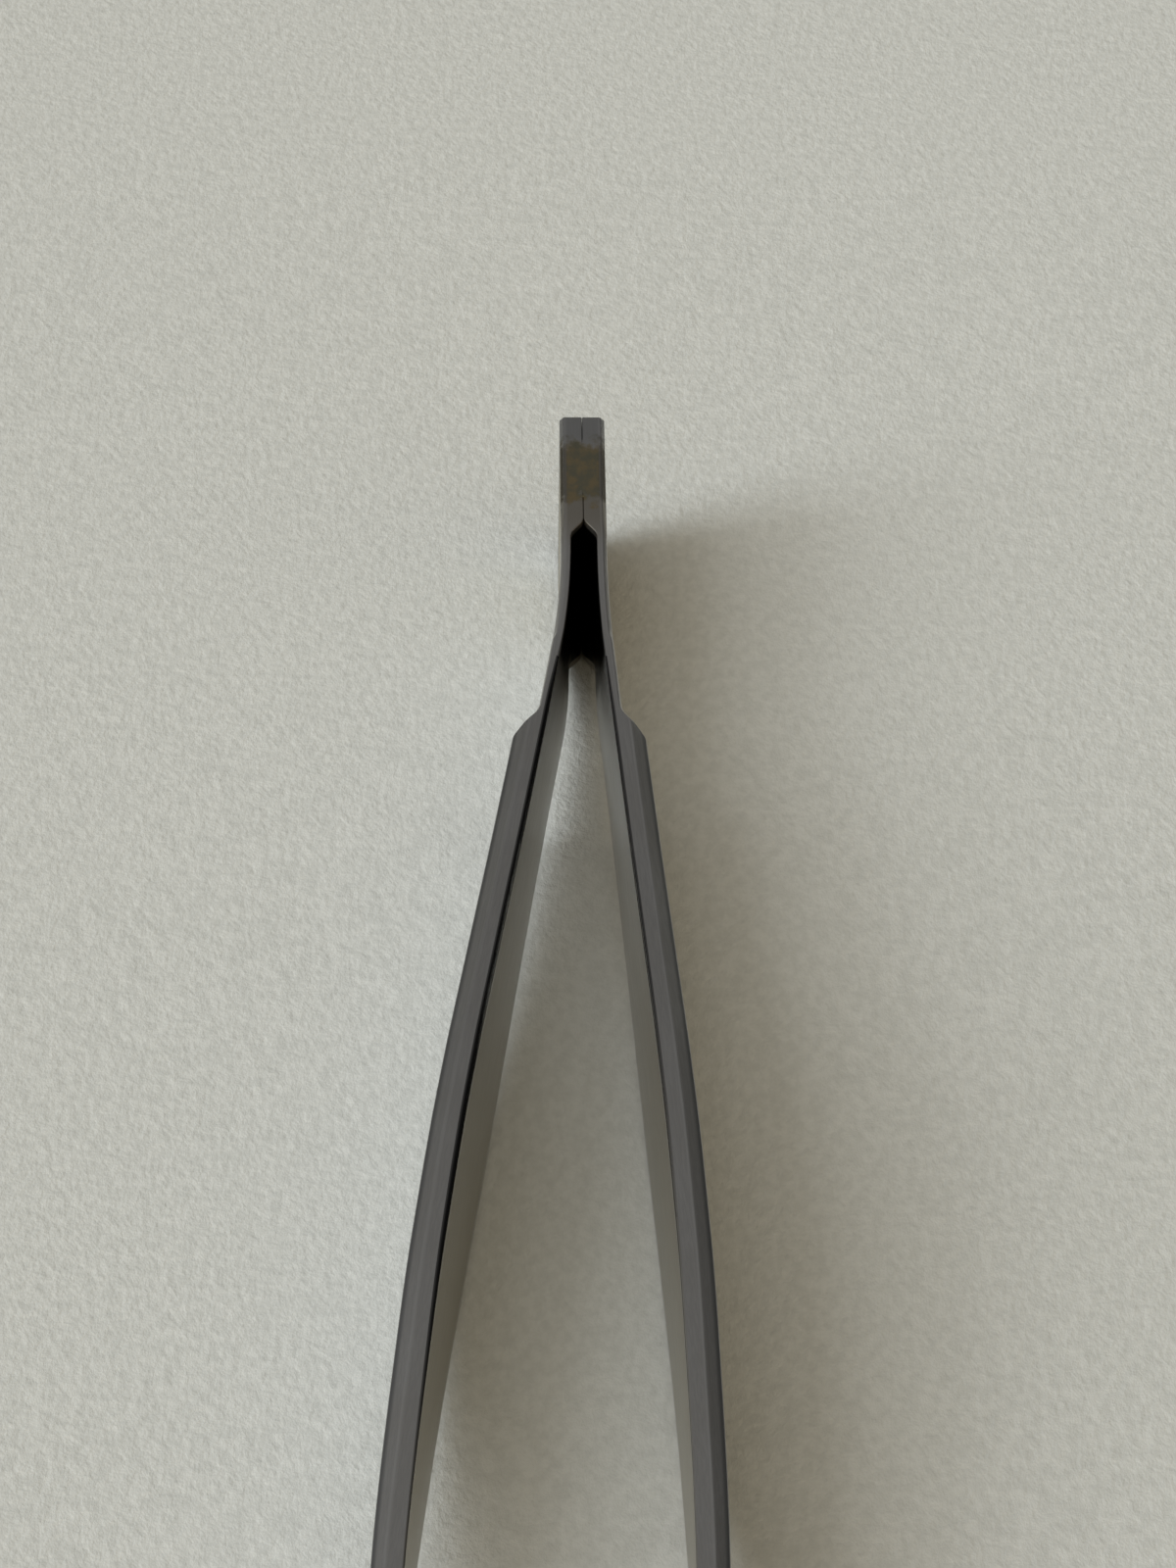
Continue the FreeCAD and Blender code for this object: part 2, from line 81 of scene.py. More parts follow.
# Shoulder and arm, from the bending axis
ARM_LENGTH = 125.0
SHOULDER = 8.4
SHOULDER_SLOPE = math.radians(26)
SHOULDER_FOOT_ROUND = 3.0
SHOULDER_CREST_ROUND = 1.2
GRIP_THICKNESS = 1.88
GRIP_WIDTH = 11.9
BEVEL_WIDTH = 0.85
BEVEL_DEPTH = 0.5
INNER_BEVELS = {"left": ((0, 0.04), (24, 0.04), (33, 0.22), (60, 0.27), (80, 0.24), (105, 0.09), (150, 0.05)),
                "right": ((0, 0.04), (24, 0.04), (38, 0.13), (60, 0.14), (80, 0.1), (105, 0.05), (150, 0.04))}
WIDTHS = ((0, 8.6), (6, 8.6), (13, 8.85), (22, 9.45), (34, 10.8), (47, 12.02), (60, 11.0), (72, 9.0),
          (84, 6.7), (97, 4.4), (111, 3.2), (118, 2.9), (125, 2.6))
THICKNESSES = ((0, 1.88), (60, 1.88), (72, 1.84), (84, 1.76), (97, 1.55), (111, 1.35), (118, 1.2), (125, 1.15))
INSETS = ((0, 0), (47, 0), (60, 0.12), (72, 0.43), (84, 0.93), (97, 2.25), (111, 5.25))
BEVEL_SHARES = ((0, 1.0), (72, 1.0), (84, 0.9), (97, 0.65), (111, 0.45), (118, 0.4), (125, 0.35))

# Rounding of a section's corners, from the inner face to the outer one
CORNER_ROUNDS = (0.12, 0.16, 0.22, 0.16)
CORNER_STEPS = 4
LARGEST_CORNER_SHARE = 0.42

# Jaws and teeth
JAW_FACE_FROM_AXIS = (114.0, 116.0)
CLOSING = math.radians(2.6)
JAW_CLEARANCE = 0.03
TOOTH_HEIGHT = 0.6
TOOTH_BASE = 1.4
TOOTH_WIDTH = 0.7
TOOTH_CLEARANCE = 0.08
TOOTH_FLANK = 0.03
TOOTH_FRONT = 0.08
TIP_ROUND = 0.3
TIP_ROUND_EDGES = 0.12

# Weld beads, ground almost flush
WELD_FROM_BUTT = 3.1
WELD_LENGTH = 7.1
WELD_HALF_WIDTH = 0.35
WELD_DEPTH = 0.5
WELD_CROWN = 0.008
WELD_END = 1.2
WELD_END_DROP = 0.1
WELD_END_NARROWING = 0.7
RIPPLE_HEIGHT = 0.12
RIPPLE_TURNS = 37.0
WELD_STEPS_ALONG = 48
WELD_STEPS_ACROSS = 12

# Polished inner edges start here. Their dark colour is a painted reflection, which fades to a lighter, rougher
# grey between two stations
POLISHED_FROM_BUTT = 27.0
DARK_REFLECTION_FADES = {"left": (88.0, 116.0), "right": (58.0, 96.0)}
FADED_REFLECTION_ROUGHNESS = 0.25

HALF_SPRING = SPRING_THICKNESS / 2
HINGE_STATION = BEND_FROM_BUTT + BEND_LENGTH
TIP_STATION = HINGE_STATION + ARM_LENGTH
SEAM_OFFSET = HALF_SPRING - HEEL_THICKNESS
MEAN_SPLAY = (SPLAY["left"] + SPLAY["right"]) / 2
HEEL_TURN = (SPLAY["left"] - SPLAY["right"]) / 2
SIDES = {"left": -1, "right": 1}
HINGES = {joint["name"].split("_")[0]: Vector(joint["pos_m"]) / MM for joint in frame["joints"]}
MID_HEIGHT = HINGES["left"].z


def interpolate(points, at):
    """Straight lines through points of rising stations."""
    if at <= points[0][0]:
        return points[0][1]
    if at >= points[-1][0]:
        return points[-1][1]
    after = bisect_right([point[0] for point in points], at)
    (x0, y0), (x1, y1) = points[after - 1], points[after]
    return y0 + (y1 - y0) * (at - x0) / (x1 - x0)


def smooth(points, at):
    """A smooth curve through points of rising stations, with no overshoot."""
    if at <= points[0][0]:
        return points[0][1]
    if at >= points[-1][0]:
        return points[-1][1]
    after = bisect_right([point[0] for point in points], at)

    def rise(number):
        if not 0 < number < len(points):
            return None
        return (points[number][1] - points[number - 1][1]) / (points[number][0] - points[number - 1][0])

    def tangent(number):
        before, behind = rise(number), rise(number + 1)
        if before is None or behind is None:
            return before if behind is None else behind
        if before * behind <= 0:
            return 0.0
        return 2 * before * behind / (before + behind)

    (x0, y0), (x1, y1) = points[after - 1], points[after]
    span, share = x1 - x0, (at - x0) / (x1 - x0)
    start, end = tangent(after - 1) * span, tangent(after) * span
    return (y0 * (2 * share**3 - 3 * share**2 + 1) + start * (share**3 - 2 * share**2 + share)
            + y1 * (3 * share**2 - 2 * share**3) + end * (share**3 - share**2))


def rounded_profile(corners, steps=10):
    """Straight runs with arcs at the corners, each (station, value, radius), as points."""
    points = [tuple(corners[0][:2])]
    for before, corner, after in zip(corners, corners[1:], corners[2:]):
        here = Vector(corner[:2])
        back, ahead = (Vector(before[:2]) - here).normalized(), (Vector(after[:2]) - here).normalized()
        turn = math.pi - back.angle(ahead)
        reach = corner[2] * math.tan(turn / 2)
        points += [tuple(point) for point in bend(here + back * reach, here, here + ahead * reach, steps)]
    points.append(tuple(corners[-1][:2]))
    return points


def bend(start, corner, end, steps):
    """Points of a curve that leaves one run and joins the other at a corner."""
    shares = [step / steps for step in range(steps + 1)]
    return [start * (1 - k) ** 2 + corner * 2 * k * (1 - k) + end * k**2 for k in shares]


RAMP_START = CUSP_FROM_BUTT + CUSP_ROUND * math.tan(CUSP_SLOPE / 2)
SLOT_STEP = HEEL_THICKNESS - SPRING_THICKNESS
RAMP_END = RAMP_START + SLOT_STEP / math.tan(CUSP_SLOPE)
INNER_HEEL = rounded_profile((
    (0, SEAM_OFFSET + SEAM_GAP), (RAMP_START, SEAM_OFFSET + SEAM_GAP, CUSP_ROUND),
    (RAMP_END, -HALF_SPRING, CUSP_ROUND), (HINGE_STATION, -HALF_SPRING)))
CREST = SHOULDER + (GRIP_THICKNESS - SPRING_THICKNESS) / math.tan(SHOULDER_SLOPE)
OUTER_SHOULDER = rounded_profile((
    (0, HALF_SPRING), (HINGE_STATION + SHOULDER, HALF_SPRING, SHOULDER_FOOT_ROUND),
    (HINGE_STATION + CREST, GRIP_THICKNESS - HALF_SPRING, SHOULDER_CREST_ROUND),
    (TIP_STATION, GRIP_THICKNESS - HALF_SPRING)))
HEEL_TAPER = rounded_profile((
    (0, HEEL_WIDTH / 2), (TAPER_FROM_BUTT, HEEL_WIDTH / 2, TAPER_BLEND),
    (HINGE_STATION, SPRING_WIDTH / 2, TAPER_BLEND), (HINGE_STATION + SHOULDER, SPRING_WIDTH / 2)))


def jaw_offset(at):
    """Offset of the jaw face, square to the other one once the arms close."""
    lean = MEAN_SPLAY - CLOSING
    half_span = abs(HINGES["right"].x)
    return (JAW_CLEARANCE / 2 - half_span - at * math.sin(lean)) / math.cos(lean)


INNER_FACE = tuple((at, -HALF_SPRING - inset) for at, inset in INSETS) + tuple(
    (at, jaw_offset(at)) for at in (*JAW_FACE_FROM_AXIS, ARM_LENGTH))


def inner_offset(station):
    at = station - HINGE_STATION
    return interpolate(INNER_HEEL, station) if at <= 0 else smooth(INNER_FACE, at)


def full_outer_offset(station):
    """Outer face of the forged bar, before the outside of the spring is ground away."""
    at = max(station - HINGE_STATION, 0)
    return smooth(INNER_FACE, at) + smooth(THICKNESSES, at)


def outer_offset(station):
    return min(full_outer_offset(station), interpolate(OUTER_SHOULDER, station))


def half_width(station):
    at = station - HINGE_STATION
    if at <= SHOULDER / 2:
        return interpolate(HEEL_TAPER, station)
    return min(smooth(WIDTHS, at), GRIP_WIDTH) / 2


def quarter_inset(distance, radius):
    """How far a rounded end draws in at a distance from that end."""
    if distance >= radius:
        return 0.0
    return radius - math.sqrt(radius**2 - (radius - distance) ** 2)


def heading(name, station):
    """Direction of the leaf, as an angle from -Y towards +X."""
    side = SIDES[name]
    bent = min(max((station - BEND_FROM_BUTT) / BEND_LENGTH, 0), 1)
    return HEEL_TURN + side * SPLAY[name] * bent


def middle_of_spring(name, station):
    """Where the leaf's middle line is in plan, in millimetres."""
    hinge = HINGES[name].to_2d()
    if station >= HINGE_STATION:
        angle = heading(name, station)
        return hinge + Vector((math.sin(angle), -math.cos(angle))) * (station - HINGE_STATION)
    curve = SIDES[name] * SPLAY[name] / BEND_LENGTH
    start, end = heading(name, station), heading(name, HINGE_STATION)
    place = hinge - Vector((math.cos(start) - math.cos(end), math.sin(start) - math.sin(end))) / curve
    if station < BEND_FROM_BUTT:
        place -= Vector((math.sin(start), -math.cos(start))) * (BEND_FROM_BUTT - station)
    return place


def place_on_leaf(name, station, offset, height):
    """A point of the leaf in the row frame, in metres."""
    angle = heading(name, station)
    outwards = Vector((math.cos(angle), math.sin(angle))) * SIDES[name]
    plan = middle_of_spring(name, station) + outwards * offset
    return Vector((plan.x, plan.y, MID_HEIGHT + height)) * MM


# Heights across the inner face, as columns of the mesh. The middle ones follow the teeth's flanks
TOOTH_EDGE = TOOTH_WIDTH / 2
PAIR_INNER = TOOTH_EDGE + TOOTH_CLEARANCE
PAIR_OUTER = PAIR_INNER + TOOTH_WIDTH
FACE_COLUMNS = (0.0, TOOTH_EDGE - TOOTH_FLANK, TOOTH_EDGE, PAIR_INNER, PAIR_INNER + TOOTH_FLANK,
                PAIR_OUTER - TOOTH_FLANK, PAIR_OUTER)
COLUMN_LIMIT = 0.97


def tooth_rise(at):
    """Height of a tooth above the jaw face at a station from the bending axis."""
    return interpolate(((ARM_LENGTH - TOOTH_BASE, 0), (ARM_LENGTH - TOOTH_BASE / 4, TOOTH_HEIGHT),
                        (ARM_LENGTH, TOOTH_FRONT)), at)


def notch_rise(at):
    depth = -TOOTH_HEIGHT - TOOTH_CLEARANCE
    return interpolate(((ARM_LENGTH - TOOTH_BASE - TOOTH_CLEARANCE, 0), (ARM_LENGTH - TOOTH_BASE / 2, depth)), at)


def jaw_rise(name, at, column):
    """Height above the jaw face of one column: teeth stand out, and notches between them are sunk."""
    if name == "right":
        return tooth_rise(at) if column < TOOTH_EDGE - TOOTH_FLANK / 2 else notch_rise(at)
    if column <= PAIR_INNER - TOOTH_FLANK / 2:
        return notch_rise(at)
    if PAIR_INNER + TOOTH_FLANK / 2 < column < PAIR_OUTER - TOOTH_FLANK / 2:
        return tooth_rise(at)
    return 0.0


def round_corner(before, corner, after, radius):
    """Points round one corner of a section, with the radius cut down where the sides are short."""
    back, ahead = before - corner, after - corner
    turn = math.pi - back.angle(ahead)
    reach = min(radius * math.tan(turn / 2), LARGEST_CORNER_SHARE * min(back.length, ahead.length))
    start, end = corner + back.normalized() * reach, corner + ahead.normalized() * reach
    return bend(start, corner, end, CORNER_STEPS)


def section(name, station):
    """One cross-section as (offset, height, edge share) points, up the inner face and round the leaf."""
    at = station - HINGE_STATION
    to_butt, to_tip = station, TIP_STATION - station
    inner, outer, half = inner_offset(station), outer_offset(station), half_width(station)
    ridge = full_outer_offset(station) - BEVEL_WIDTH * smooth(BEVEL_SHARES, at)
    edge = HEEL_EDGE if at < 0 else SPRING_EDGE
    bevel = max(edge, outer - ridge) if at > 0 else edge
    depth = max(edge, (outer - ridge) * BEVEL_DEPTH / BEVEL_WIDTH) if at > 0 else edge
    inner_bevel = smooth(INNER_BEVELS[name], station)
    outer -= quarter_inset(to_butt, BUTT_ROUND_OUTSIDE) + quarter_inset(to_tip, TIP_ROUND)
    half -= quarter_inset(to_butt, BUTT_ROUND_EDGES) + quarter_inset(to_tip, TIP_ROUND_EDGES)
    corners = [Vector(corner) for corner in (
        (inner, 0), (inner, half - inner_bevel), (inner + inner_bevel, half),
        (outer - bevel, half), (outer, half - depth), (outer, 0))]
    upper = []
    for number, radius in enumerate(CORNER_ROUNDS, start=1):
        before, corner, after = corners[number - 1:number + 2]
        upper += [(point.x, point.y, number) for point in round_corner(before, corner, after, radius)]
    face_top = upper[0][1]
    spread = max(face_top / half_width(TIP_STATION), 1.0)
    columns = [min(column * spread, face_top * COLUMN_LIMIT) for column in FACE_COLUMNS]
    face = []
    for column, height in zip(FACE_COLUMNS, columns):
        rise = jaw_rise(name, at, column) if at > ARM_LENGTH - 2 * TOOTH_BASE else 0.0
        face.append((inner - rise, height, 0))
    back = [(outer, share * upper[-1][1], 5) for share in (0.66, 0.33, 0.0)]
    half_ring = face[1:] + upper + back
    lower = [(offset, -height, kind) for offset, height, kind in half_ring[:-1]]
    return [face[0]] + half_ring + lower[::-1]


# Runs of sections as (from, to, step), close together where the leaf's form changes quickly
STATION_RUNS = ((0, 0.6, 0.05), (0.6, 12.2, 0.6), (12.2, 15.8, 0.08), (15.8, 32.0, 0.5), (32.0, 38.0, 0.12),
                (38.0, 135.0, 1.0), (135.0, 147.0, 0.6), (147.0, TIP_STATION, 0.05))


def stations():
    made = []
    for start, end, step in STATION_RUNS:
        count = round((end - start) / step)
        made += [start + (end - start) * number / count for number in range(count)]
    return made + [TIP_STATION]


def make_leaf(name, materials):
    """One forged leaf from butt end to tip, as a skin over its sections."""
    mesh = bpy.data.meshes.new(f"{name}_leaf")
    grid = bmesh.new()
    place = grid.verts.layers.float_vector.new("place")
    part = grid.verts.layers.float.new("part")
    rings = []
    for station in stations():
        ring = []
        for offset, height, kind in section(name, station):
            vert = grid.verts.new(place_on_leaf(name, station, offset, height))
            vert[place] = Vector((SIDES[name] * (offset - SEAM_OFFSET), station, height))
            vert[part] = kind
            ring.append(vert)
        rings.append(ring)
    count = len(rings[0])
    for ring, after in zip(rings, rings[1:]):
        for number in range(count):
            follow = (number + 1) % count
            grid.faces.new((ring[number], ring[follow], after[follow], after[number]))
    for face in grid.faces:
        kinds = {round(vert[part]) for vert in face.verts}
        station = min(vert[place].y for vert in face.verts)
        face.smooth = 0 not in kinds or station < TIP_STATION - 2 * TOOTH_BASE
        face.material_index = 1 if kinds <= {1, 2} and station > POLISHED_FROM_BUTT else 0
    caps = [grid.faces.new(rings[0]), grid.faces.new(rings[-1])]
    for cap in caps:
        cap.material_index = 2
    bmesh.ops.recalc_face_normals(grid, faces=grid.faces)
    bmesh.ops.triangulate(grid, faces=caps)
    grid.to_mesh(mesh)
    grid.free()
    leaf = bpy.data.objects.new(f"{name}_leaf", mesh)
    bpy.context.scene.collection.objects.link(leaf)
    for material in materials:
        mesh.materials.append(material)
    flatten = leaf.modifiers.new("flat facets", "WEIGHTED_NORMAL")
    flatten.keep_sharp = True
    flatten.weight = 80
    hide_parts(f"{name}_heel", f"{name}_arm")
    place_on_leaf(name, HINGE_STATION - BLEND_REACH, 0, 0)
    place_on_leaf(name, HINGE_STATION + BLEND_REACH, 0, 0)
    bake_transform(leaf)
    return leaf


def make_weld(material):
    """Two beads along the seam, on the top and the bottom edge of the heel."""
    mesh = bpy.data.meshes.new("weld_beads")
    grid = bmesh.new()
    place = grid.verts.layers.float_vector.new("place")
    for edge in (1, -1):
        rings = []
        for number in range(WELD_STEPS_ALONG + 1):
            along = number / WELD_STEPS_ALONG
            station = WELD_FROM_BUTT + WELD_LENGTH * along
            from_end = min(along, 1 - along) * WELD_LENGTH
            sunk = quarter_inset(from_end, WELD_END) / WELD_END
            ripple = 1 + RIPPLE_HEIGHT * math.sin(along * RIPPLE_TURNS)
            reach = WELD_HALF_WIDTH * (1 - WELD_END_NARROWING * sunk)
            ring = []
            for step in range(WELD_STEPS_ACROSS + 1):
                share = 2 * step / WELD_STEPS_ACROSS - 1
                crown = WELD_CROWN * (ripple * (1 - share**2) - 0.5) - WELD_END_DROP * sunk
                ring.append((share * reach, HEEL_WIDTH / 2 + crown))
            ring.append((0.0, HEEL_WIDTH / 2 - WELD_DEPTH))
            verts = []
            for over, height in ring:
                vert = grid.verts.new(place_on_leaf("right", station, SEAM_OFFSET + over, edge * height))
                vert[place] = Vector((over, station, edge * height))
                verts.append(vert)
            rings.append(verts)
        count = len(rings[0])
        for ring, after in zip(rings, rings[1:]):
            for number in range(count):
                follow = (number + 1) % count
                face = grid.faces.new((ring[number], ring[follow], after[follow], after[number]))
                face.smooth = number < WELD_STEPS_ACROSS
        grid.faces.new(rings[0])
        grid.faces.new(rings[-1])
    bmesh.ops.recalc_face_normals(grid, faces=grid.faces)
    grid.to_mesh(mesh)
    grid.free()
    weld = bpy.data.objects.new("weld_beads", mesh)
    bpy.context.scene.collection.objects.link(weld)
    mesh.materials.append(material)
    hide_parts("heel_weld")
    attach(weld, "heel")
    return weld


class Nodes:
    """Builds a node tree: add makes a node, with values for its sockets, which may be other sockets."""

    def __init__(self, tree):
        self.tree = tree
        tree.nodes.clear()

    def add(self, kind, values=None, **settings):
        node = self.tree.nodes.new(kind)
        for name, value in settings.items():
            setattr(node, name, value)
        for name, value in (values or {}).items():
            socket = node.inputs[name]
            if isinstance(value, bpy.types.NodeSocket):
                self.tree.links.new(value, socket)
            else:
                socket.default_value = value
        return node

    def math(self, operation, first, second=0.0, clamp=False):
        node = self.add("ShaderNodeMath", {0: first, 1: second}, operation=operation, use_clamp=clamp)
        return node.outputs[0]

    def between(self, value, low, high, to_low=0.0, to_high=1.0, smooth_ends=True):
        """Maps a value from low..high to to_low..to_high, and holds it at the ends."""
        kind = "SMOOTHSTEP" if smooth_ends else "LINEAR"
        node = self.add("ShaderNodeMapRange", {
            "Value": value, "From Min": low, "From Max": high, "To Min": to_low, "To Max": to_high,
        }, interpolation_type=kind)
        return node.outputs[0]

    def noise(self, vector, scale, detail=3.0, roughness=0.5):
        node = self.add("ShaderNodeTexNoise", {
            "Vector": vector, "Scale": scale, "Detail": detail, "Roughness": roughness})
        return node.outputs["Fac"]

    def stretch(self, vector, scale):
        node = self.add("ShaderNodeVectorMath", {0: vector, 1: scale}, operation="MULTIPLY")
        return node.outputs[0]

    def mix(self, share, first, second):
        node = self.add("ShaderNodeMix", data_type="RGBA")
        for number, value in ((0, share), (6, first), (7, second)):
            socket = node.inputs[number]
            if isinstance(value, bpy.types.NodeSocket):
                self.tree.links.new(value, socket)
            else:
                socket.default_value = value
        return node.outputs[2]


def grey(level, tint=(1.0, 1.0, 1.0)):
    return (level * tint[0], level * tint[1], level * tint[2], 1.0)


def new_material(name):
    material = bpy.data.materials.new(name)
    material.use_nodes = True
    return material, Nodes(material.node_tree)


# Colours of the steel
WARM_STEEL = (1.0, 0.99, 0.965)
COOL_STEEL = (1.0, 1.0, 0.99)
BUTT_GREY = (0.37, 0.38, 0.39, 1)
STRAW = (0.37, 0.295, 0.17, 1)
OLIVE = (0.255, 0.245, 0.175, 1)
FADED_TINT = (0.37, 0.34, 0.285, 1)
# Painted shade: the dark brown-grey of the inner faces towards the tips
INSIDE_SHADE = (0.32, 0.30, 0.255, 1)
# Painted shade: the near-black inside of the slot
SLOT_SHADE_BLACK = (0.006, 0.0057, 0.0053, 1)
# Painted reflection: the lighter grey to which the polished edges' painted dark reflection fades
FADED_EDGE_REFLECTION = (0.42, 0.41, 0.385, 1)
# Painted reflection: the dark lines along the outer edges
DARK_EDGE_REFLECTION = (0.16, 0.165, 0.175, 1)
# Burnt brown of the heat tint on the outer edges beside the patch, darkened to near black as a painted dark
# reflection
BURNT_EDGE_REFLECTION = (0.07, 0.055, 0.028, 1)
# Painted highlight on the ridge between the facets
RIDGE_HIGHLIGHT = (0.68, 0.68, 0.68, 1)

# Stations between which these colours come in or fade out
BUTT_GREYS = (5.0, 2.5)
PATCH_STARTS = (2.8, 4.4)
PATCH_ENDS = (11.3, 10.2)
FADING_STARTS = (10.0, 11.0)
FADING_ENDS = (17.0, 12.5)
# Where the painted shade in the slot ends, and how that end slants with height
SLOT_ENDS = (24.4, 22.4)
SLOT_SLANT = 0.9
# Stations over which the painted shade on the inner faces comes in
INSIDE_SHADE_STARTS = (42.0, 75.0)
SPRING_STARTS = (11.0, 14.0)
SPRING_ENDS = (37.0, 33.0)


def add_tint(nodes, metal, place, station):
    """Straw-brown heat tint round the weld, greyer towards the butt end and fading along the slot.

    Gives the tinted metal, and how far a place lies inside the tinted patch.
    """
    blots = nodes.noise(nodes.stretch(place, (1.3, 0.8, 0.5)), 1.0, 3.0, 0.6)
    wandering = nodes.math("ADD", station, nodes.between(blots, 0.25, 0.75, -1.3, 1.3, False))
    metal = nodes.mix(nodes.between(station, *BUTT_GREYS, 0.0, 0.6), metal, BUTT_GREY)
    fading = nodes.math("MULTIPLY", nodes.between(wandering, *FADING_STARTS), nodes.between(station, *FADING_ENDS))
    metal = nodes.mix(nodes.math("MULTIPLY", fading, 0.8), metal, FADED_TINT)
    patch = nodes.math("MULTIPLY", nodes.between(wandering, *PATCH_STARTS), nodes.between(wandering, *PATCH_ENDS))
    return nodes.mix(patch, metal, nodes.mix(nodes.between(blots, 0.35, 0.65), STRAW, OLIVE)), patch


# Ranges of the part number, which is 0 on the inner face, 1 to 4 at the corners, 5 on the outer face
INNER_FACE_ENDS = (0.6, 0.4)
BURNT_STARTS = (2.84, 3.08)
EDGE_STARTS = (3.6, 3.95)
EDGE_ENDS = (4.6, 4.1)
RIDGE_STARTS = (2.88, 2.98)
RIDGE_ENDS = (3.14, 3.04)


def add_edges(nodes, metal, patch, station, height):
    """Painted shade in the slot and on the inner faces, painted dark reflections along the outer edges, burnt
    brown ones beside the patch, and painted highlights on the ridges.
    """
    part = nodes.add("ShaderNodeAttribute", attribute_name="part").outputs["Fac"]
    inside = nodes.between(part, *INNER_FACE_ENDS)
    # Painted shade on the inner faces, coming in from station 42 towards the tips
    inside_shade = nodes.math("MULTIPLY", inside, nodes.between(station, *INSIDE_SHADE_STARTS, 0.0, 0.85))
    metal = nodes.mix(inside_shade, metal, INSIDE_SHADE)
    # Painted shade: the inner faces turn near-black inside the slot, up to a slanted end
    depth = nodes.math("SUBTRACT", station, nodes.math("MULTIPLY", height, SLOT_SLANT))
    slot = nodes.math("MULTIPLY", inside, nodes.between(depth, *SLOT_ENDS))
    metal = nodes.mix(slot, metal, SLOT_SHADE_BLACK)
    # Painted dark reflection along the outer edges, fainter along the spring
    edge_end = nodes.between(part, *EDGE_ENDS)
    edge = nodes.math("MULTIPLY", nodes.between(part, *EDGE_STARTS), edge_end)
    spring = nodes.math("MULTIPLY", nodes.between(station, *SPRING_STARTS), nodes.between(station, *SPRING_ENDS))
    edge = nodes.math("MULTIPLY", edge, nodes.between(spring, 0.0, 1.0, 0.7, 0.1))
    metal = nodes.mix(edge, metal, DARK_EDGE_REFLECTION)
    # Beside the tint patch the outer edges turn near-black brown: burnt tint with a painted dark reflection
    outside = nodes.math("MULTIPLY", nodes.between(part, *BURNT_STARTS), edge_end)
    metal = nodes.mix(nodes.math("MULTIPLY", patch, outside), metal, BURNT_EDGE_REFLECTION)
    # Painted highlight: a light line along the ridge
    ridge = nodes.math("MULTIPLY", nodes.between(part, *RIDGE_STARTS), nodes.between(part, *RIDGE_ENDS))
    return nodes.mix(nodes.math("MULTIPLY", ridge, 0.25), metal, RIDGE_HIGHLIGHT)


def steel_material(name, base, roughness, grain, edged=False, fades=None):
    """Satin steel with lengthwise grinding marks.

    The edged kind also has painted light: painted shade on the inner faces and in the slot, painted dark
    reflections along the outer edges, and a painted highlight on the ridges.
    Where fades are given, the base colour, a painted dark reflection, turns to a lighter grey and the roughness
    rises between those two stations.
    """
    material, nodes = new_material(name)
    place = nodes.add("ShaderNodeAttribute", attribute_name="place").outputs["Vector"]
    _, station, height = nodes.add("ShaderNodeSeparateXYZ", {0: place}).outputs
    cloud = nodes.noise(nodes.stretch(place, (0.5, 0.12, 0.4)), 1.0, 4.0, 0.6)
    marks = nodes.noise(nodes.stretch(place, (9.0, 0.35, 9.0)), 1.0, 5.0, 0.65)
    grit = nodes.noise(nodes.stretch(place, (22.0, 9.0, 22.0)), 1.0, 2.0, 0.5)
    wave = nodes.noise(nodes.stretch(place, (0.8, 0.25, 0.8)), 1.0, 2.0, 0.4)

    metal = nodes.mix(nodes.between(cloud, 0.35, 0.65), grey(base * 0.93, WARM_STEEL), grey(base, COOL_STEEL))
    metal = nodes.mix(nodes.between(marks, 0.35, 0.65, 0.0, 0.6), metal, grey(base * 0.76))
    metal, patch = add_tint(nodes, metal, place, station)
    if edged:
        metal = add_edges(nodes, metal, patch, station, height)

    shine = nodes.between(marks, 0.2, 0.8, roughness - 0.05, roughness + 0.07, False)
    if fades:
        # The painted dark reflection fades to a lighter grey here, and the roughness rises
        reflection_fade = nodes.between(station, *fades)
        metal = nodes.mix(reflection_fade, metal, FADED_EDGE_REFLECTION)
        shine = nodes.math("ADD", shine, nodes.math("MULTIPLY", reflection_fade, FADED_REFLECTION_ROUGHNESS))
    relief = nodes.math("ADD", nodes.math("MULTIPLY", marks, grain), nodes.math("MULTIPLY", grit, grain * 0.6))
    relief = nodes.math("ADD", relief, nodes.math("MULTIPLY", wave, 3.0))
    bump = nodes.add("ShaderNodeBump", {"Height": relief, "Strength": 0.25, "Distance": 0.00002})
    shader = nodes.add("ShaderNodeBsdfPrincipled", {
        "Base Color": metal, "Roughness": shine, "Normal": bump.outputs[0], "Metallic": 1.0})
    nodes.add("ShaderNodeOutputMaterial", {"Surface": shader.outputs[0]})
    return material


def paper_material():
    """Pale matt paper with a faint mottle and a fine tooth."""
    material, nodes = new_material("paper")
    spot = nodes.stretch(nodes.add("ShaderNodeTexCoord").outputs["Object"], (1.0, 0.6, 1.0))
    mottle = nodes.noise(spot, 1500.0, 3.0, 0.6)
    tooth = nodes.noise(spot, 2200.0, 3.0, 0.6)
    colour = nodes.mix(nodes.between(mottle, 0.3, 0.7), (0.485, 0.50, 0.49, 1), (0.545, 0.56, 0.55, 1))
    bump = nodes.add("ShaderNodeBump", {"Height": tooth, "Strength": 0.5, "Distance": 0.0002})
    shader = nodes.add("ShaderNodeBsdfPrincipled", {
        "Base Color": colour, "Roughness": 0.85, "Normal": bump.outputs[0], "Specular IOR Level": 0.2})
    nodes.add("ShaderNodeOutputMaterial", {"Surface": shader.outputs[0]})
    return material


FLOOR_HALF = 4.0

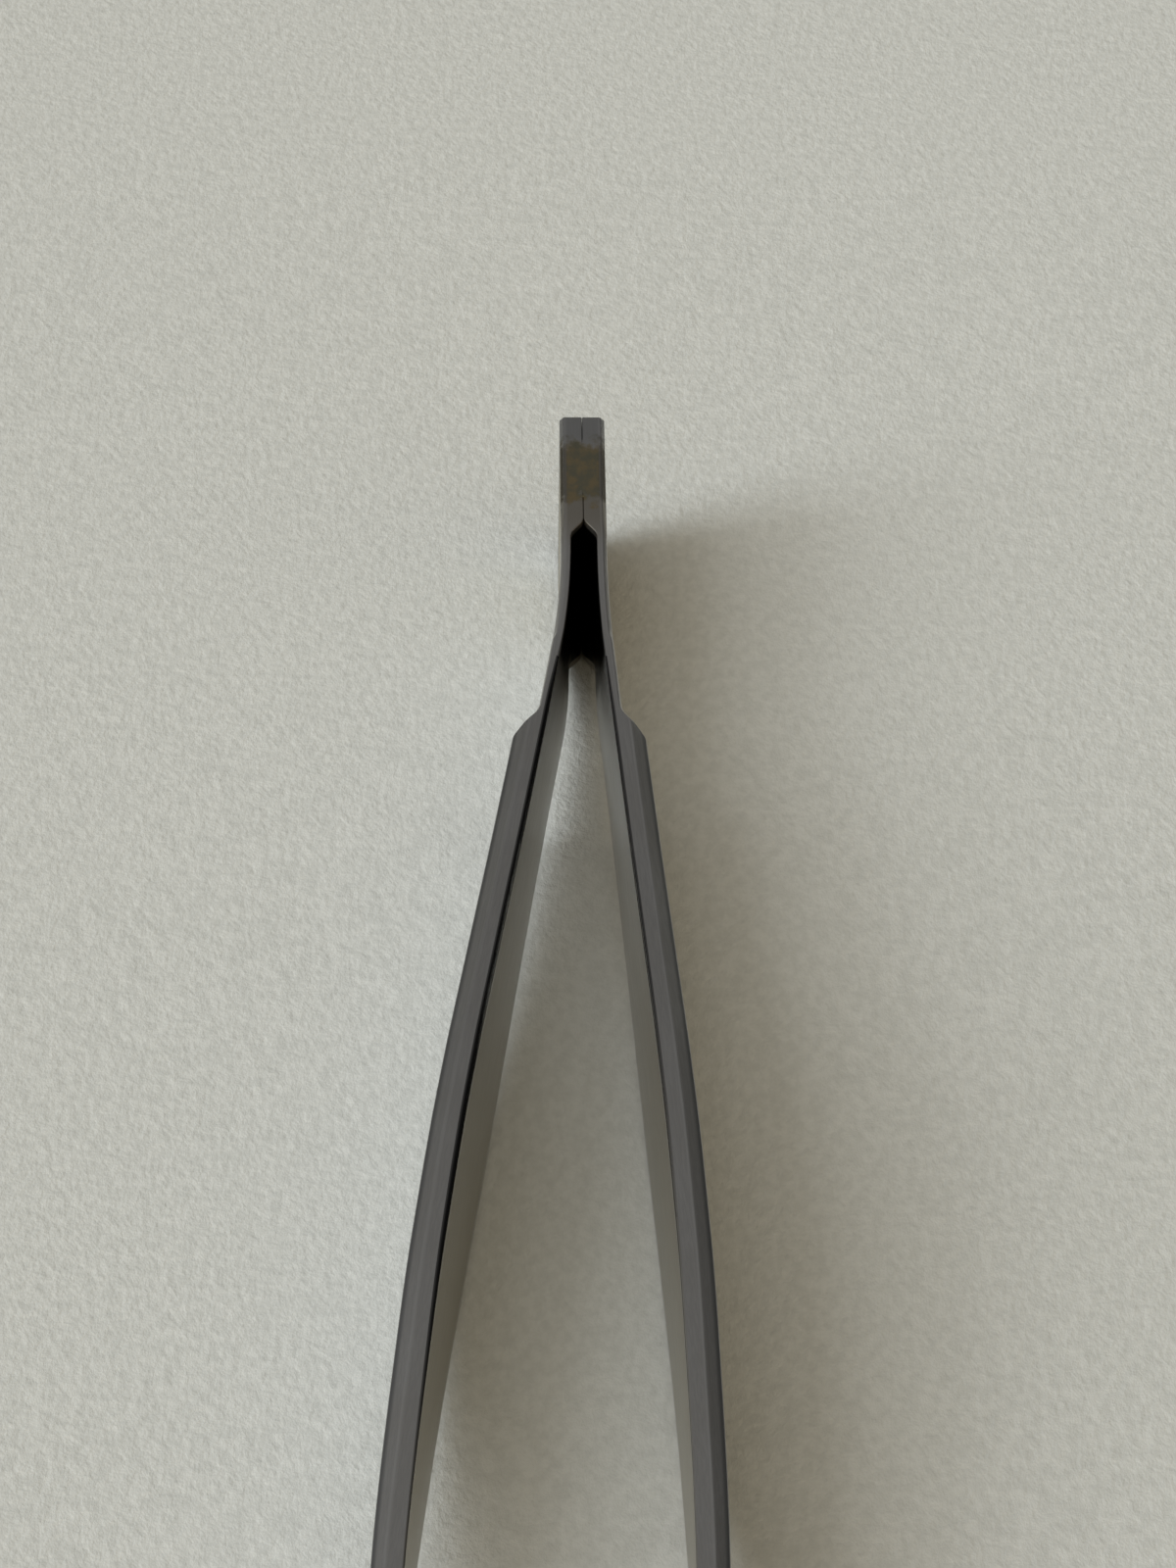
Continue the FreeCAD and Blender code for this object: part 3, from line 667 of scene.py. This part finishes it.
# The leaves rest on their widest place and on the butt end, which is narrower, so the floor leans a little
REST_STATION = 72.0
FLOOR_LEAN = (GRIP_WIDTH - HEEL_WIDTH) / 2 / REST_STATION

# Parts of the window as (name, energy, elevation, spread), and the way its light goes, in degrees
WINDOW_PARTS = (("window_low", 1.55, 23, 26), ("window_mid", 1.2, 42, 32), ("window_high", 0.3, 68, 30))
WINDOW_AZIMUTH = 28
WINDOW_COLOUR = (0.91, 0.965, 1.0)
ROOM_COLOUR = (1.0, 0.98, 0.95, 1.0)
FILL_COLOUR = (1.0, 0.82, 0.52, 1.0)


def make_floor():
    mesh = bpy.data.meshes.new("paper_floor")
    rest = middle_of_spring("left", REST_STATION).y * MM
    corners = [(x * FLOOR_HALF, y * FLOOR_HALF, (y * FLOOR_HALF - rest) * FLOOR_LEAN)
               for x, y in ((-1, -1), (1, -1), (1, 1), (-1, 1))]
    mesh.from_pydata(corners, [], [(0, 1, 2, 3)])
    floor = bpy.data.objects.new("paper_floor", mesh)
    bpy.context.scene.collection.objects.link(floor)
    mesh.materials.append(paper_material())


def make_light():
    """A tall soft window on the left, and a dim room with a warm glow behind the tips."""
    for name, energy, elevation, spread in WINDOW_PARTS:
        lamp = bpy.data.lights.new(name, "SUN")
        lamp.energy = energy
        lamp.angle = math.radians(spread)
        lamp.color = WINDOW_COLOUR
        window = bpy.data.objects.new(name, lamp)
        bpy.context.scene.collection.objects.link(window)
        height, turn = math.radians(elevation), math.radians(WINDOW_AZIMUTH)
        towards = Vector((math.cos(height) * math.cos(turn), math.cos(height) * math.sin(turn), -math.sin(height)))
        window.rotation_euler = towards.to_track_quat("-Z", "Y").to_euler()

    world = bpy.data.worlds.new("room")
    bpy.context.scene.world = world
    world.use_nodes = True
    nodes = Nodes(world.node_tree)
    direction = nodes.add("ShaderNodeTexCoord").outputs["Generated"]
    axes = nodes.add("ShaderNodeSeparateXYZ", {0: direction})
    wall = nodes.between(axes.outputs[0], -0.35, -0.95, 0.0, 0.1)
    low = nodes.between(axes.outputs[2], 0.02, 0.45, 0.015, 0.18)
    behind = nodes.between(axes.outputs[1], 0.3, -0.7, 0.0, 0.84)
    shaded = nodes.math("MULTIPLY", low, nodes.between(axes.outputs[0], 0.15, 0.7, 1.0, 0.5))
    walls = nodes.add("ShaderNodeBackground", {"Color": ROOM_COLOUR, "Strength": nodes.math("ADD", wall, shaded)})
    fill = nodes.add("ShaderNodeBackground", {"Color": FILL_COLOUR, "Strength": behind})
    room = nodes.add("ShaderNodeAddShader", {0: walls.outputs[0], 1: fill.outputs[0]})
    nodes.add("ShaderNodeOutputWorld", {"Surface": room.outputs[0]})


# Camera, as fitted to the leaves' outlines in the photograph
PHOTO_HEIGHT = 1600
FOCAL_PIXELS = 6000
CAMERA_TARGET = Vector((0.55, 39.63, 5.95)) * MM
CAMERA_DISTANCE = 357.2 * MM
CAMERA_AZIMUTH = math.radians(-0.530)
CAMERA_ELEVATION = math.radians(34.205)
CAMERA_ROLL = math.radians(0.921)


def make_camera():
    data = bpy.data.cameras.new("camera")
    data.sensor_width = 36
    data.lens = FOCAL_PIXELS / PHOTO_HEIGHT * data.sensor_width
    data.clip_start, data.clip_end = 0.01, 20
    camera = bpy.data.objects.new("camera", data)
    bpy.context.scene.collection.objects.link(camera)
    flat = math.cos(CAMERA_ELEVATION)
    forward = Vector((math.sin(CAMERA_AZIMUTH) * flat, math.cos(CAMERA_AZIMUTH) * flat,
                      -math.sin(CAMERA_ELEVATION)))
    right = Vector((math.cos(CAMERA_AZIMUTH), -math.sin(CAMERA_AZIMUTH), 0))
    up = right.cross(forward)
    turned_right = right * math.cos(CAMERA_ROLL) + up * math.sin(CAMERA_ROLL)
    turned_up = up * math.cos(CAMERA_ROLL) - right * math.sin(CAMERA_ROLL)
    turn = Matrix((turned_right, turned_up, -forward)).transposed().to_4x4()
    camera.matrix_world = Matrix.Translation(CAMERA_TARGET - forward * CAMERA_DISTANCE) @ turn
    bpy.context.scene.camera = camera


satin = steel_material("satin_steel", 0.54, 0.32, 1.0, edged=True)
ends = steel_material("end_faces", 0.54, 0.32, 1.0)
weld_metal = steel_material("weld_metal", 0.52, 0.34, 1.2)
for side_name in SIDES:
    # Polished inner edges, whose dark base colour is a painted dark reflection
    polished_dark_reflection = steel_material(f"{side_name}_polished_edge_dark_reflection", 0.17, 0.10, 0.3, fades=DARK_REFLECTION_FADES[side_name])
    make_leaf(side_name, (satin, polished_dark_reflection, ends))
make_weld(weld_metal)
make_floor()
make_light()
make_camera()
bpy.context.scene.view_settings.view_transform = "Standard"
